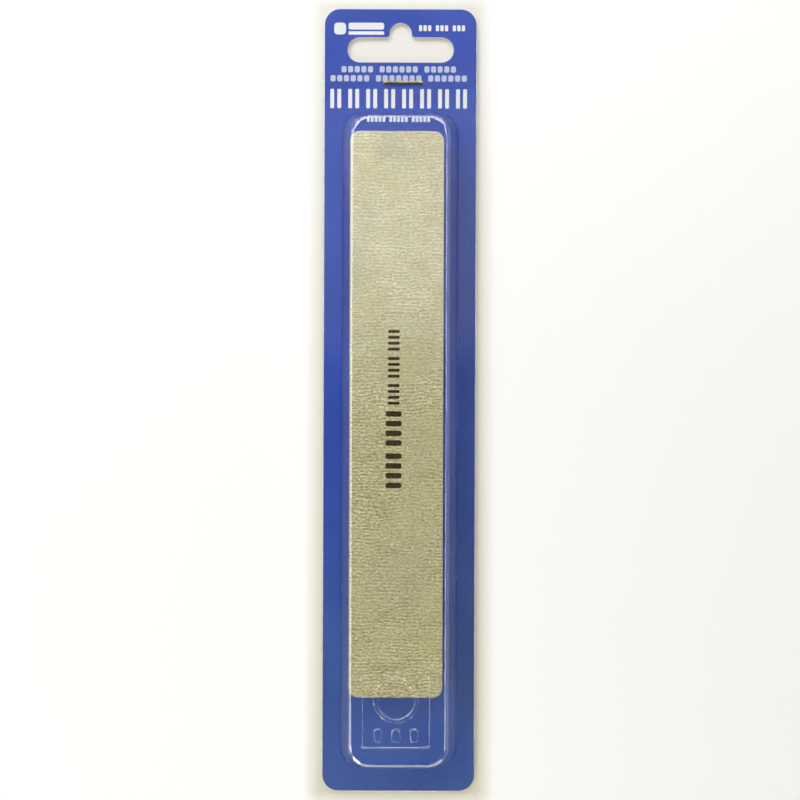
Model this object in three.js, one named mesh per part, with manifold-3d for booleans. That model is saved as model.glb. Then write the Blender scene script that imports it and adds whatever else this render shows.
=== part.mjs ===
// A soft sanding stick in its hanging retail pack. Millimetres, +Z up.
//
// The pack lies on its back. +X is its width, +Y runs along its length toward the
// hang slot, and +Z points up through the clear cover. Every piece is laid out from
// the middle of the backing card, with height 0 at the lowest faces, and the finished
// pack is then moved so that the origin is under the middle of its bounding box.

import * as THREE from "three";
import { mergeVertices } from "three/addons/utils/BufferGeometryUtils.js";
import Module from "manifold-3d";

const wasm = await Module();
wasm.setup();

// ------------------------------------------------------------ driving dimensions

// Backing card
const CARD_WIDTH = 48.5;
const CARD_LENGTH = 250;
const CARD_THICKNESS = 0.5;
const CARD_CORNER = 5;

// Hang slot in the card, a rounded slot with an arch in the middle of its upper edge
const SLOT_CENTRE_Y = 112;
const SLOT_WIDTH = 34.1;
const SLOT_HEIGHT = 8.1;
const SLOT_ARCH_RADIUS = 3.6;
const SLOT_ARCH_FILLET = 1;
const COVER_SLOT_MARGIN = 0.4;

// Clear cover: its film, the play around the card and the folds behind the card
const FILM = 0.3;
const PLAY_BEHIND_CARD = 0.2;
const PLAY_OVER_CARD = 0.1;
const FOLD_INSET = 0.1;
const FLAP_WIDTH = 5;
const FLAP_CHAMFER = 3;
const SIDE_FOLD_LENGTH = 233;
const SIDE_FOLD_CENTRE_Y = -0.5;
const BOTTOM_FOLD_LENGTH = 29;

// Domed pocket of the cover: outline where it meets the sheet, height and draft
const DOME_WIDTH = 36.9;
const DOME_LENGTH = 208.5;
const DOME_CENTRE_Y = -12.8;
const DOME_CORNER = 6.4;
const DOME_RISE = 9;
const DOME_DRAFT = 3.2;
const DOME_EDGE_RADIUS = 1.6;

// Recessed pad in the dome's top
const PAD_WIDTH = 22;
const PAD_LENGTH = 22.6;
const PAD_X = -1;
const PAD_CENTRE_Y = -96.8;
const PAD_CORNER = 1.6;
const PAD_DEPTH = 0.7;
const PAD_DRAFT = 0.5;

// Staple: flat wire, crown over the cover and points clinched behind the card
const STAPLE_X = 0.9;
const STAPLE_Y = 101.5;
const STAPLE_CROWN = 12.7;
const WIRE_THICKNESS = 0.5;
const WIRE_WIDTH = 0.6;
const WIRE_BEND_RADIUS = 0.2;
const CLINCH_LENGTH = 4.8;
const LEG_HOLE = 1;

// Sanding stick
const STICK_WIDTH = 29.5;
const STICK_LENGTH = 178;
const STICK_CORNER = 3.2;
const STICK_X = -1;
const STICK_Y = -4.5;
const STICK_PLAY = 0.1;

// Layers of the stick, from the one on the card upward: name, thickness, material
const STICK_LAYERS = [
  ["back_abrasive_sheet", 0.35, "abrasive"],
  ["back_face_adhesive", 0.1, "adhesive"],
  ["back_foam_layer", 1.6, "foam"],
  ["back_core_adhesive", 0.1, "adhesive"],
  ["stiffener_strip", 0.6, "stiffener"],
  ["front_core_adhesive", 0.1, "adhesive"],
  ["front_foam_layer", 1.6, "foam"],
  ["front_face_adhesive", 0.1, "adhesive"],
  ["front_abrasive_sheet", 0.35, "abrasive"],
];

// Points on each arc of an outline, on the small bends and on the dome's rounded edge
const CORNER_STEPS = 6;
const BEND_STEPS = 3;
const EDGE_STEPS = 3;

// ------------------------------------------------------------ heights that follow

const CARD_BACK_Z = FILM + PLAY_BEHIND_CARD;
const CARD_FRONT_Z = CARD_BACK_Z + CARD_THICKNESS;
const COVER_BACK_Z = CARD_FRONT_Z + PLAY_OVER_CARD;
const COVER_FRONT_Z = COVER_BACK_Z + FILM;
const DOME_TOP_Z = CARD_FRONT_Z + DOME_RISE;
const DOME_WALL_ANGLE = Math.atan2(DOME_DRAFT, DOME_TOP_Z - COVER_FRONT_Z);
const FOLD_RADIUS = COVER_FRONT_Z / 2;

// How far a cutting solid runs past the face that it opens, how far joined solids lap,
// and how close two points are when they count as one
const CUT_PAST = 0.2;
const LAP = 1;
const SAME_POINT = 1e-6;

// ------------------------------------------------------------ materials

const materials = {
  card: new THREE.MeshStandardMaterial({ color: 0x4a63b4, roughness: 0.55 }),
  cover: new THREE.MeshStandardMaterial({
    color: 0xe6eef2,
    roughness: 0.08,
    transparent: true,
    opacity: 0.35,
  }),
  brass: new THREE.MeshStandardMaterial({ color: 0xa08c46, roughness: 0.3, metalness: 1 }),
  abrasive: new THREE.MeshStandardMaterial({ color: 0xbdb88e, roughness: 0.95 }),
  adhesive: new THREE.MeshStandardMaterial({ color: 0xe8e0bc, roughness: 0.3 }),
  foam: new THREE.MeshStandardMaterial({ color: 0xdedcd2, roughness: 1 }),
  stiffener: new THREE.MeshStandardMaterial({ color: 0xf2f2ee, roughness: 0.45 }),
};

// ------------------------------------------------------------ outlines

// The outline as straight sides, with points that coincide taken out
function polygon(path, cornerSteps = CORNER_STEPS) {
  const points = path.getPoints(cornerSteps);
  const distinct = points.filter((point, i) => point.distanceTo(points.at(i - 1)) > SAME_POINT);
  return new THREE.Shape(distinct);
}

// A rectangle with rounded corners, centred on the origin
function roundedRectangle(width, length, corner) {
  const x = width / 2 - corner;
  const y = length / 2 - corner;
  const shape = new THREE.Shape();
  shape.absarc(x, -y, corner, -Math.PI / 2, 0);
  shape.absarc(x, y, corner, 0, Math.PI / 2);
  shape.absarc(-x, y, corner, Math.PI / 2, Math.PI);
  shape.absarc(-x, -y, corner, Math.PI, (Math.PI * 3) / 2);
  return polygon(shape);
}

// The hang slot, grown by a margin on every side and shifted up by the same margin
function hangSlot(margin) {
  const y = SLOT_CENTRE_Y + margin;
  const endRadius = SLOT_HEIGHT / 2 + margin;
  const endX = (SLOT_WIDTH - SLOT_HEIGHT) / 2;
  const archRadius = SLOT_ARCH_RADIUS + margin;
  const fillet = SLOT_ARCH_FILLET - margin;
  const archY = y + endRadius + fillet;
  const filletX = archRadius + fillet;
  const path = new THREE.Path();
  path.absarc(endX, y, endRadius, -Math.PI / 2, Math.PI / 2);
  path.absarc(filletX, archY, fillet, -Math.PI / 2, -Math.PI, true);
  path.absarc(0, archY, archRadius, 0, Math.PI);
  path.absarc(-filletX, archY, fillet, 0, -Math.PI / 2, true);
  path.absarc(-endX, y, endRadius, Math.PI / 2, (Math.PI * 3) / 2);
  return polygon(path);
}

// The card's outline with its slot, drawn in by an inset
function cardOutline(inset, slotMargin) {
  const width = CARD_WIDTH - 2 * inset;
  const length = CARD_LENGTH - 2 * inset;
  const outline = roundedRectangle(width, length, CARD_CORNER - inset);
  outline.holes = [hangSlot(slotMargin)];
  return outline;
}

// ------------------------------------------------------------ solids

// A flat plate of a given outline, standing on a height
function plate(outline, bottom, thickness) {
  const geometry = new THREE.ExtrudeGeometry(outline, { depth: thickness, bevelEnabled: false });
  return geometry.translate(0, 0, bottom);
}

// An outline drawn as (outward, height), extruded along Y and centred on it
function extrudeAlongY(outline, length) {
  const geometry = new THREE.ExtrudeGeometry(outline, { depth: length, bevelEnabled: false });
  return geometry.rotateX(Math.PI / 2).translate(0, length / 2, 0);
}

// A closed solid through rounded-rectangle rings of { z, width, length, corner }, lowest first
function loft(rings, centreY) {
  const outlines = rings.map((ring) => {
    return roundedRectangle(ring.width, ring.length, ring.corner).getPoints();
  });
  const count = outlines[0].length;
  const positions = [];
  outlines.forEach((points, level) => {
    points.forEach((point) => positions.push(point.x, point.y + centreY, rings[level].z));
  });

  const triangles = [];
  for (let level = 0; level < rings.length - 1; level += 1) {
    for (let i = 0; i < count; i += 1) {
      const here = level * count + i;
      const next = level * count + ((i + 1) % count);
      triangles.push(here, next, next + count);
      triangles.push(here, next + count, here + count);
    }
  }
  const lastRing = (rings.length - 1) * count;
  for (const [a, b, c] of THREE.ShapeUtils.triangulateShape(outlines[0], [])) {
    triangles.push(a, c, b);
    triangles.push(lastRing + a, lastRing + b, lastRing + c);
  }

  const geometry = new THREE.BufferGeometry();
  geometry.setAttribute("position", new THREE.Float32BufferAttribute(positions, 3));
  geometry.setIndex(triangles);
  return geometry;
}

function toManifold(geometry) {
  const bare = geometry.clone();
  bare.deleteAttribute("normal");
  bare.deleteAttribute("uv");
  const merged = mergeVertices(bare, SAME_POINT);
  const vertProperties = new Float32Array(merged.attributes.position.array);
  const triVerts = new Uint32Array(merged.index.array);
  return new wasm.Manifold(new wasm.Mesh({ numProp: 3, vertProperties, triVerts }));
}

function toGeometry(manifold) {
  const mesh = manifold.getMesh();
  const geometry = new THREE.BufferGeometry();
  geometry.setAttribute("position", new THREE.Float32BufferAttribute(mesh.vertProperties, 3));
  geometry.setIndex(Array.from(mesh.triVerts));
  geometry.computeVertexNormals();
  return geometry;
}

// A card-shaped sheet with its slot and the two square holes for the staple's legs
function punchedSheet(inset, slotMargin, bottom, thickness) {
  const legX = (STAPLE_CROWN - WIRE_THICKNESS) / 2;
  let sheet = toManifold(plate(cardOutline(inset, slotMargin), bottom, thickness));
  for (const offset of [-legX, legX]) {
    const punch = new THREE.BoxGeometry(LEG_HOLE, LEG_HOLE, thickness + 2 * CUT_PAST);
    punch.translate(STAPLE_X + offset, STAPLE_Y, bottom + thickness / 2);
    sheet = sheet.subtract(toManifold(punch));
  }
  return sheet;
}

// ------------------------------------------------------------ clear cover

// The dome's rings at a distance inside its outer face: drafted walls, then a rounded edge
function domeRings(depthInside, bottom) {
  const wallSlope = Math.tan(DOME_WALL_ANGLE);
  const corner = DOME_CORNER - depthInside;
  const edgeRadius = DOME_EDGE_RADIUS - depthInside;
  const edgeZ = DOME_TOP_Z - DOME_EDGE_RADIUS;
  const wallInset = (z) => (z - COVER_FRONT_Z) * wallSlope + depthInside / Math.cos(DOME_WALL_ANGLE);
  const ring = (z, inset) => ({
    z,
    width: DOME_WIDTH - 2 * inset,
    length: DOME_LENGTH - 2 * inset,
    corner,
  });

  const rings = [ring(bottom, wallInset(bottom))];
  const edgeInset = wallInset(edgeZ) + edgeRadius / Math.cos(DOME_WALL_ANGLE);
  for (let step = 0; step <= EDGE_STEPS; step += 1) {
    const angle = THREE.MathUtils.lerp(DOME_WALL_ANGLE, Math.PI / 2, step / EDGE_STEPS);
    const z = edgeZ + edgeRadius * Math.sin(angle);
    rings.push(ring(z, edgeInset - edgeRadius * Math.cos(angle)));
  }
  return rings;
}

// The recessed pad's rings, grown by a distance, from its floor to just above the dome's top
function padRings(grow) {
  const slope = PAD_DRAFT / PAD_DEPTH;
  const wallGrow = grow * Math.hypot(1, slope);
  const ring = (z) => {
    const widen = wallGrow + (z - DOME_TOP_Z) * slope;
    return {
      z,
      width: PAD_WIDTH + 2 * widen,
      length: PAD_LENGTH + 2 * widen,
      corner: PAD_CORNER + grow,
    };
  };
  return [ring(DOME_TOP_Z - PAD_DEPTH - grow), ring(DOME_TOP_Z + CUT_PAST)];
}

// One edge of the film, folded under the card, for an edge that faces +X with its fold on Y
function foldedEdge(length) {
  const inner = FOLD_RADIUS - FILM;
  const bend = new THREE.Shape();
  bend.moveTo(-LAP, 0);
  bend.absarc(0, FOLD_RADIUS, FOLD_RADIUS, -Math.PI / 2, Math.PI / 2);
  bend.lineTo(-LAP, COVER_FRONT_Z);
  bend.lineTo(-LAP, COVER_BACK_Z);
  bend.absarc(0, FOLD_RADIUS, inner, Math.PI / 2, -Math.PI / 2, true);
  bend.lineTo(-LAP, FILM);

  const flap = new THREE.Shape();
  flap.moveTo(0, -length / 2);
  flap.lineTo(0, length / 2);
  flap.lineTo(-LAP, length / 2);
  flap.lineTo(-FLAP_WIDTH, length / 2 - FLAP_CHAMFER);
  flap.lineTo(-FLAP_WIDTH, FLAP_CHAMFER - length / 2);
  flap.lineTo(-LAP, -length / 2);

  const bendSolid = toManifold(extrudeAlongY(polygon(bend), length));
  return toGeometry(bendSolid.add(toManifold(plate(flap, 0, FILM))));
}

// The folded edges at the right, the left and the bottom of the card
function foldedEdges() {
  const sideX = CARD_WIDTH / 2 - FOLD_INSET;
  const bottomY = -(CARD_LENGTH / 2 - FOLD_INSET);
  const right = foldedEdge(SIDE_FOLD_LENGTH).translate(sideX, SIDE_FOLD_CENTRE_Y, 0);
  const left = foldedEdge(SIDE_FOLD_LENGTH)
    .rotateZ(Math.PI)
    .translate(-sideX, SIDE_FOLD_CENTRE_Y, 0);
  const bottom = foldedEdge(BOTTOM_FOLD_LENGTH)
    .rotateZ(-Math.PI / 2)
    .translate(0, bottomY, 0);
  return [right, left, bottom];
}

function blisterShell() {
  const sheet = punchedSheet(FOLD_INSET, COVER_SLOT_MARGIN, COVER_BACK_Z, FILM);
  const dome = toManifold(loft(domeRings(0, COVER_BACK_Z), DOME_CENTRE_Y));
  const cavity = toManifold(loft(domeRings(FILM, COVER_BACK_Z - CUT_PAST), DOME_CENTRE_Y));
  const pad = toManifold(loft(padRings(0), PAD_CENTRE_Y).translate(PAD_X, 0, 0));
  const padUnderside = toManifold(loft(padRings(FILM), PAD_CENTRE_Y).translate(PAD_X, 0, 0));
  let shell = sheet.add(dome).subtract(pad).subtract(cavity.subtract(padUnderside));
  for (const edge of foldedEdges()) {
    shell = shell.add(toManifold(edge));
  }
  return toGeometry(shell);
}

// ------------------------------------------------------------ staple

// One bent wire: the crown on the cover, a leg through each hole, both points clinched inward
function staple() {
  const outerX = STAPLE_CROWN / 2;
  const innerX = outerX - WIRE_THICKNESS;
  const pointX = outerX - CLINCH_LENGTH;
  const crownZ = COVER_FRONT_Z + WIRE_THICKNESS;
  const clinchZ = CARD_BACK_Z - WIRE_THICKNESS;
  const bend = WIRE_BEND_RADIUS;
  const wire = new THREE.Shape();
  wire.moveTo(-pointX, clinchZ);
  wire.absarc(-outerX + bend, clinchZ + bend, bend, -Math.PI / 2, -Math.PI, true);
  wire.absarc(-outerX + bend, crownZ - bend, bend, Math.PI, Math.PI / 2, true);
  wire.absarc(outerX - bend, crownZ - bend, bend, Math.PI / 2, 0, true);
  wire.absarc(outerX - bend, clinchZ + bend, bend, 0, -Math.PI / 2, true);
  wire.lineTo(pointX, clinchZ);
  wire.lineTo(pointX, CARD_BACK_Z);
  wire.lineTo(innerX, CARD_BACK_Z);
  wire.lineTo(innerX, COVER_FRONT_Z);
  wire.lineTo(-innerX, COVER_FRONT_Z);
  wire.lineTo(-innerX, CARD_BACK_Z);
  wire.lineTo(-pointX, CARD_BACK_Z);
  return extrudeAlongY(polygon(wire, BEND_STEPS), WIRE_WIDTH).translate(STAPLE_X, STAPLE_Y, 0);
}

// ------------------------------------------------------------ scene

function named(name, geometry, material) {
  const mesh = new THREE.Mesh(geometry, material);
  mesh.name = name;
  return mesh;
}

// The layered stick, lying on the card inside the dome
function stickLayers() {
  const outline = roundedRectangle(STICK_WIDTH, STICK_LENGTH, STICK_CORNER);
  const stick = new THREE.Group();
  stick.position.set(STICK_X, STICK_Y, CARD_FRONT_Z + STICK_PLAY);
  let height = 0;
  for (const [name, thickness, material] of STICK_LAYERS) {
    stick.add(named(name, plate(outline, height, thickness), materials[material]));
    height += thickness;
  }
  return stick;
}

// The bottom fold stands out past the card, so the bounding box is centred below the card's middle
const bottomFoldOverhang = FOLD_RADIUS - FOLD_INSET;

const pack = new THREE.Group();
const card = punchedSheet(0, 0, CARD_BACK_Z, CARD_THICKNESS);
pack.add(named("backing_card", toGeometry(card), materials.card));
pack.add(named("blister_shell", blisterShell(), materials.cover));
pack.add(named("staple", staple(), materials.brass));
pack.add(stickLayers());
pack.position.y = bottomFoldOverhang / 2;

export default pack;
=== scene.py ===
"""Looks of a soft sanding stick in its hanging retail pack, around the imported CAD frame.

Everything is in metres in the part's own frame: the pack lies on its back, +X across it,
+Y along it toward the hang slot, +Z up through the clear cover.
"""

import math

import bpy
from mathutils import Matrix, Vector, geometry, noise


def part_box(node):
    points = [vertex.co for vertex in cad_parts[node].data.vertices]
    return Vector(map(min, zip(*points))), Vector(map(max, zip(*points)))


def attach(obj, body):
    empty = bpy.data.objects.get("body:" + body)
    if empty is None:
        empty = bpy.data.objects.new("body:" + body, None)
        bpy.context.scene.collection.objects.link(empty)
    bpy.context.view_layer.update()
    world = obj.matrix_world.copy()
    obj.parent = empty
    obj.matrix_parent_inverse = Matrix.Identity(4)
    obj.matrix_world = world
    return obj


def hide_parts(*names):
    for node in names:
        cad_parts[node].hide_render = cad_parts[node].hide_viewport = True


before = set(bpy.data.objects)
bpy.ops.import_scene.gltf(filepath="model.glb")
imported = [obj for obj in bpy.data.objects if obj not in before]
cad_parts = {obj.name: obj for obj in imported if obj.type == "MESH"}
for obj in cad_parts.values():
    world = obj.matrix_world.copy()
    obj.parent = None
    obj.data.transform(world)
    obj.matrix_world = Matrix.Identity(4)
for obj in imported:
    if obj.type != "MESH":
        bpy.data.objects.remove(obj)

MM = 0.001
TOUCH = 0.01 * MM
SHARP_ANGLE = math.radians(40)
NO_AREA = 1e-16

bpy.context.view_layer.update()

# ---------------------------------------------------------------- places from the frame


def section(node, height, inside=None):
    """Lowest and highest x and y of a node's corners at one height, or of those inside a box."""
    corners = [v.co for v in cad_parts[node].data.vertices if abs(v.co.z - height) < TOUCH]
    if inside:
        west, south, east, north = inside
        corners = [c for c in corners if west < c.x < east and south < c.y < north]
    xs = [corner.x for corner in corners]
    ys = [corner.y for corner in corners]
    return min(xs), min(ys), max(xs), max(ys)


card_low, card_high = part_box("backing_card")
cover_low, cover_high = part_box("blister_shell")
paper_low, paper_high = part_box("front_abrasive_sheet")
staple_low, staple_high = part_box("staple")

CARD_X = (card_low.x + card_high.x) / 2
CARD_Y = (card_low.y + card_high.y) / 2
CARD_FACE = card_high.z

# Clear film: thickness, and the heights of its front sheet and of the dome's top
FILM = 0.3 * MM
FILM_GAP = 0.1 * MM
SHEET_FACE = CARD_FACE + FILM_GAP + FILM
SHEET_INSET = 0.1 * MM
SHEET_CORNER = 4.9 * MM
FOLD_RADIUS = SHEET_FACE / 2
FOLD_STEP = 4 * MM
FOLD_TURNS = 10
FLAP_START = 1 * MM
FLAP_WIDTH = 5 * MM
FLAP_CHAMFER = 3 * MM
SIDE_FOLD = (-117 * MM, 116 * MM)
BOTTOM_FOLD = (-14.5 * MM, 14.5 * MM)

# Dome: the flat top comes from the CAD, and its walls lean out to the sheet
DOME_HEIGHT = cover_high.z - SHEET_FACE
WALL_LEAN = 3.2 * MM
WALL_ANGLE = math.atan2(WALL_LEAN, DOME_HEIGHT)
WALL_STEPS = 6
EDGE_RADIUS = 1.6 * MM
EDGE_STEPS = 10
EDGE_INSET = (DOME_HEIGHT - EDGE_RADIUS) * math.tan(WALL_ANGLE)
EDGE_INSET += EDGE_RADIUS / math.cos(WALL_ANGLE)
FLARE_RADIUS = 0.2 * MM
FLARE_STEPS = 6
DOME_CORNER = 6.4 * MM
SUPPORT = 0.15 * MM

dome_top = section("blister_shell", cover_high.z)
top_west, top_south, top_east, top_north = dome_top
DOME_X = (top_west + top_east) / 2
DOME_Y = (top_south + top_north) / 2
DOME_WIDTH = top_east - top_west + 2 * EDGE_INSET
DOME_LENGTH = top_north - top_south + 2 * EDGE_INSET

# Recessed pad in the dome's top
PAD_DEPTH = 0.7 * MM
PAD_DRAFT = 0.5 * MM
PAD_WALL = 0.45 * MM
PAD_SEARCH = 3 * MM
pad_zone = (
    top_west + PAD_SEARCH, top_south + PAD_SEARCH, top_east - PAD_SEARCH, top_north - PAD_SEARCH
)
pad_floor = section("blister_shell", cover_high.z - PAD_DEPTH, inside=pad_zone)
pad_west, pad_south, pad_east, pad_north = pad_floor
PAD_X = (pad_west + pad_east) / 2
PAD_Y = (pad_south + pad_north) / 2
PAD_WIDTH = pad_east - pad_west + 2 * PAD_DRAFT
PAD_LENGTH = pad_north - pad_south + 2 * PAD_DRAFT
PAD_CORNER = 1.6 * MM
PAD_MARGIN = 1.0 * MM
PAD_STEP = 0.15 * MM

# Hang slot in the film, a little larger than the card's own
SLOT_Y = CARD_Y + 112.4 * MM
SLOT_END_RADIUS = 4.45 * MM
SLOT_END_X = 13 * MM
ARCH_RADIUS = 4.0 * MM
ARCH_FILLET = 0.6 * MM

# Staple wire: its flat-sided section, its bends, and the holes that its legs go through
WIRE = 0.5 * MM
WIRE_ALONG = 0.6 * MM
WIRE_CORNER = 0.13 * MM
WIRE_BEND = 0.45 * MM
WIRE_CLINCH = 4.55 * MM
WIRE_POINT = 0.55
LEG_HOLE_RADIUS = 0.42 * MM

# Stick
STICK_X = (paper_low.x + paper_high.x) / 2
STICK_Y = (paper_low.y + paper_high.y) / 2
STICK_WIDTH = paper_high.x - paper_low.x
STICK_LENGTH = paper_high.y - paper_low.y
STICK_CORNER = 3.2 * MM

# ---------------------------------------------------------------- small helpers


def smooth_step(low, high, value):
    t = min(1.0, max(0.0, (value - low) / (high - low)))
    return t * t * (3 - 2 * t)


def spread(start, end, count):
    """count + 1 evenly spaced numbers from start to end."""
    return [start + (end - start) * i / count for i in range(count + 1)]


def arc(centre, radius, start, end, count):
    """Points on an arc, angles in degrees."""
    angles = [math.radians(angle) for angle in spread(start, end, count)]
    return [(centre[0] + radius * math.cos(a), centre[1] + radius * math.sin(a)) for a in angles]


def rounded_rectangle(width, length, corner, corner_steps=12, across=1, along=1):
    """Outline around the origin, counter-clockwise from the lower right corner.

    Each long side is cut into `along` parts and each short side into `across`.
    """
    x = width / 2 - corner
    y = length / 2 - corner
    points = arc((x, -y), corner, -90, 0, corner_steps)
    points += [(width / 2, value) for value in spread(-y, y, along)[1:-1]]
    points += arc((x, y), corner, 0, 90, corner_steps)
    points += [(value, length / 2) for value in spread(x, -x, across)[1:-1]]
    points += arc((-x, y), corner, 90, 180, corner_steps)
    points += [(-width / 2, value) for value in spread(y, -y, along)[1:-1]]
    points += arc((-x, -y), corner, 180, 270, corner_steps)
    points += [(value, -length / 2) for value in spread(-x, x, across)[1:-1]]
    return points


def add_mesh(name, vertices, faces):
    """A smooth-shaded object whose sharp edges stay crisp."""
    mesh = bpy.data.meshes.new(name)
    mesh.from_pydata(vertices, [], faces)
    mesh.validate()
    mesh.shade_smooth()
    mesh.set_sharp_from_angle(angle=SHARP_ANGLE)
    piece = bpy.data.objects.new(name, mesh)
    bpy.context.scene.collection.objects.link(piece)
    return piece


def bridge(first, second, closed=True):
    """Quads between two rows of as many point numbers, facing up where `second` lies inside."""
    count = len(first)
    last = count if closed else count - 1
    rows = [(i, (i + 1) % count) for i in range(last)]
    return [(first[i], first[j], second[j], second[i]) for i, j in rows]


def grid_faces(rows):
    return [face for a, b in zip(rows, rows[1:]) for face in bridge(a, b, closed=False)]


def grid_edge(rows):
    """A grid's outer point numbers, counter-clockwise from the start of its first row."""
    east = [row[-1] for row in rows[1:-1]]
    west = [row[0] for row in rows[1:-1]]
    return rows[0] + east + rows[-1][::-1] + west[::-1]


# ---------------------------------------------------------------- thin film


class Film:
    """A thin sheet as pairs of outer and inner points, with faces drawn over the outer ones.

    foot lists the points of the dome's foot, where the film mirrors less and a painted shade
    darkens it.
    """

    def __init__(self):
        self.outer = []
        self.inner = []
        self.faces = []
        self.foot = []

    def row(self, outer, inner):
        """Adds a row of point pairs and returns their numbers."""
        first = len(self.outer)
        self.outer += [Vector(point) for point in outer]
        self.inner += [Vector(point) for point in inner]
        return list(range(first, len(self.outer)))

    def flat_row(self, outline, height):
        """A row on a level stretch, with the inner face straight below the outer one."""
        outer = [(x, y, height) for x, y in outline]
        return self.row(outer, [(x, y, height - FILM) for x, y in outline])

    def fill(self, *loops):
        """Fills a level area between an outline and its holes, facing up."""
        flat = [number for loop in loops for number in loop]
        outlines = [[self.outer[number].xy.to_3d() for number in loop] for loop in loops]
        for corners in geometry.tessellate_polygon(outlines):
            a, b, c = [flat[corner] for corner in corners]
            turn = (self.outer[b] - self.outer[a]).cross(self.outer[c] - self.outer[a]).z
            if abs(turn) > NO_AREA:
                self.faces.append((a, b, c) if turn > 0 else (a, c, b))

    def solid(self, name):
        """Closes the film along its free edges and makes it an object."""
        count = len(self.outer)
        under = [tuple(number + count for number in reversed(face)) for face in self.faces]
        sides = [(f[i], f[(i + 1) % len(f)]) for f in self.faces for i in range(len(f))]
        known = set(sides)
        rims = [(b, a, a + count, b + count) for a, b in sides if (b, a) not in known]
        piece = add_mesh(name, self.outer + self.inner, self.faces + under + rims)
        foot = [0.0] * (2 * count)
        for number in self.foot:
            foot[number] = 1.0
            foot[number + count] = 1.0
        piece.data.attributes.new("foot", "FLOAT", "POINT").data.foreach_set("value", foot)
        return piece


def dome_profile():
    """Stations up the dome's outer face: (inset, height, normal inward, normal up)."""
    lean = WALL_ANGLE
    wall = (-math.cos(lean), math.sin(lean))
    flare_x = FLARE_RADIUS * ((1 - math.sin(lean)) * math.tan(lean) - math.cos(lean))
    stations = [(flare_x - SUPPORT, 0.0, 0.0, 1.0)]
    for angle in spread(-math.pi / 2, -lean, FLARE_STEPS):
        inward = math.cos(angle)
        up = math.sin(angle)
        stations.append((flare_x + FLARE_RADIUS * inward, FLARE_RADIUS * (1 + up), -inward, -up))
    wall_low = stations[-1][1]
    wall_high = DOME_HEIGHT - EDGE_RADIUS * (1 - math.sin(lean))
    for height in spread(wall_low, wall_high, WALL_STEPS)[1:-1]:
        stations.append((height * math.tan(lean), height, *wall))
    for angle in spread(lean, math.pi / 2, EDGE_STEPS):
        inward = -math.cos(angle)
        up = math.sin(angle)
        height = DOME_HEIGHT - EDGE_RADIUS * (1 - up)
        stations.append((EDGE_INSET + EDGE_RADIUS * inward, height, inward, up))
    stations.append((EDGE_INSET + SUPPORT, DOME_HEIGHT, 0.0, 1.0))
    return stations


def dome_outline(inset, corner):
    outline = rounded_rectangle(
        DOME_WIDTH - 2 * inset, DOME_LENGTH - 2 * inset, corner, 14, across=12, along=90
    )
    return [(x + DOME_X, y + DOME_Y) for x, y in outline]


def add_dome(film):
    """The dome's walls and rounded edges. Returns its lowest and highest rows."""
    rows = []
    for inset, height, inward, up in dome_profile():
        outer = dome_outline(inset, DOME_CORNER)
        inner = dome_outline(inset - FILM * inward, DOME_CORNER + FILM * inward)
        z = SHEET_FACE + height
        rows.append(
            film.row([(x, y, z) for x, y in outer], [(x, y, z - FILM * up) for x, y in inner])
        )
    for lower, upper in zip(rows, rows[1:]):
        film.faces += bridge(lower, upper)
    film.foot = [number for row in rows[1 : FLARE_STEPS + 2] for number in row]
    return rows[0], rows[-1]


def rounded_box_distance(x, y, width, length, corner):
    """Distance from a rounded rectangle around the origin, negative inside it."""
    dx = abs(x) - width / 2 + corner
    dy = abs(y) - length / 2 + corner
    return math.hypot(max(dx, 0), max(dy, 0)) + min(max(dx, dy), 0) - corner


# Plain marks raised on the pad's floor: one ring, and a row of three short ribs below it
RING_Y = 3.6 * MM
RING_RADIUS = 6.4 * MM
RIB_Y = -7.3 * MM
RIB_SPACING = 5.6 * MM
RIB_SIZE = (2.2 * MM, 4.0 * MM)
MARK_HEIGHT = 0.4 * MM
MARK_HALF_WIDTH = 0.45 * MM
MARK_SLOPE = 0.24 * MM


def pad_marks(x, y):
    """Height of the raised marks above the pad's floor."""
    distance = abs(math.hypot(x, y - RING_Y) - RING_RADIUS) - MARK_HALF_WIDTH
    for column in (-1, 0, 1):
        rib = rounded_box_distance(
            x - column * RIB_SPACING, y - RIB_Y, RIB_SIZE[0], RIB_SIZE[1], RIB_SIZE[0] / 2
        )
        distance = min(distance, rib)
    return MARK_HEIGHT * (1 - smooth_step(0, MARK_SLOPE, distance))


def pad_height(x, y):
    """The dome's top around the pad, from its flat level down to the pad's floor and marks."""
    inside = -rounded_box_distance(x, y, PAD_WIDTH, PAD_LENGTH, PAD_CORNER)
    depth = PAD_DEPTH * smooth_step(0, PAD_WALL, inside)
    return cover_high.z - depth + pad_marks(x, y)


def add_pad(film):
    """The recessed pad as a fine grid. Returns its outer edge, counter-clockwise."""
    width = PAD_WIDTH + 2 * PAD_MARGIN
    length = PAD_LENGTH + 2 * PAD_MARGIN
    xs = spread(-width / 2, width / 2, round(width / PAD_STEP))
    ys = spread(-length / 2, length / 2, round(length / PAD_STEP))
    rows = []
    for y in ys:
        points = [(PAD_X + x, PAD_Y + y, pad_height(x, y)) for x in xs]
        rows.append(film.row(points, [(px, py, z - FILM) for px, py, z in points]))
    film.faces += grid_faces(rows)
    return grid_edge(rows)


def slot_outline():
    """The hang slot in the film: round ends, and an arch in the middle of its upper edge."""
    arch_y = SLOT_Y + SLOT_END_RADIUS + ARCH_FILLET
    fillet_x = ARCH_RADIUS + ARCH_FILLET
    points = arc((SLOT_END_X, SLOT_Y), SLOT_END_RADIUS, -90, 90, 20)
    points += arc((fillet_x, arch_y), ARCH_FILLET, -90, -180, 6)
    points += arc((0, arch_y), ARCH_RADIUS, 0, 180, 24)[1:-1]
    points += arc((-fillet_x, arch_y), ARCH_FILLET, 0, -90, 6)
    points += arc((-SLOT_END_X, SLOT_Y), SLOT_END_RADIUS, 90, 270, 20)
    return [(CARD_X + x, y) for x, y in points]


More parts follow.
